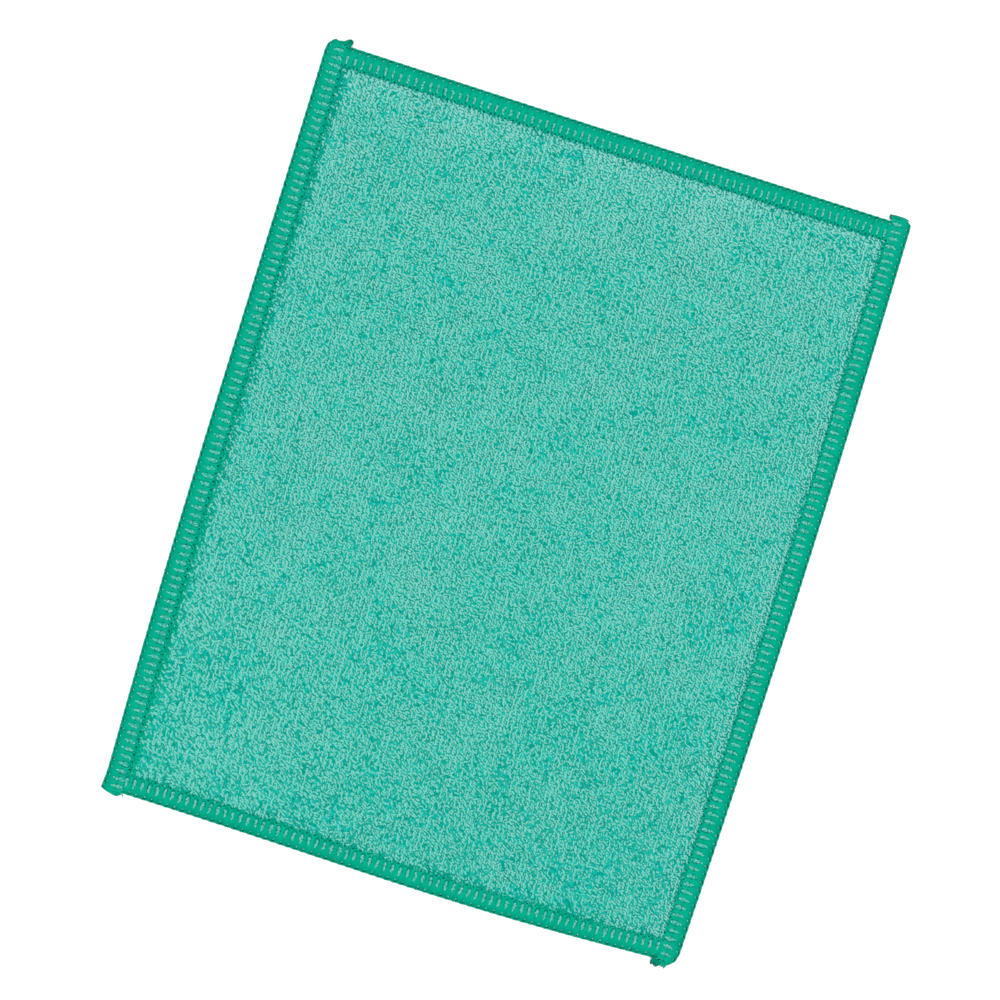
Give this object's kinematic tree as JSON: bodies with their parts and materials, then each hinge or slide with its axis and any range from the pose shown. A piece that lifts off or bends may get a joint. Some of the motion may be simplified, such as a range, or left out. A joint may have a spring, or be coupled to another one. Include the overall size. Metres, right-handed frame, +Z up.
{
  "type": "microfibre cloth",
  "caption": "Small rectangular microfibre terry cloth that lies flat, its cut edge bound all round with overlocked thread.",
  "frame": {"origin": "middle of the cloth's bounding box, on the surface it lies on", "axes": "+X across the cloth to the right, +Y along its long side, +Z up from the surface it lies on"},
  "size_m": [0.1579, 0.2031, 0.003],
  "materials": {
    "terry": "matt loop pile, mint loops over an emerald ground",
    "edging_thread": "satin textured thread, overlocked, emerald green"
  },
  "bodies": {
    "root": {"cloth_panel": "terry", "edging_left": "edging_thread", "edging_right": "edging_thread", "edging_top": "edging_thread", "edging_bottom": "edging_thread"}
  },
  "joints": []
}
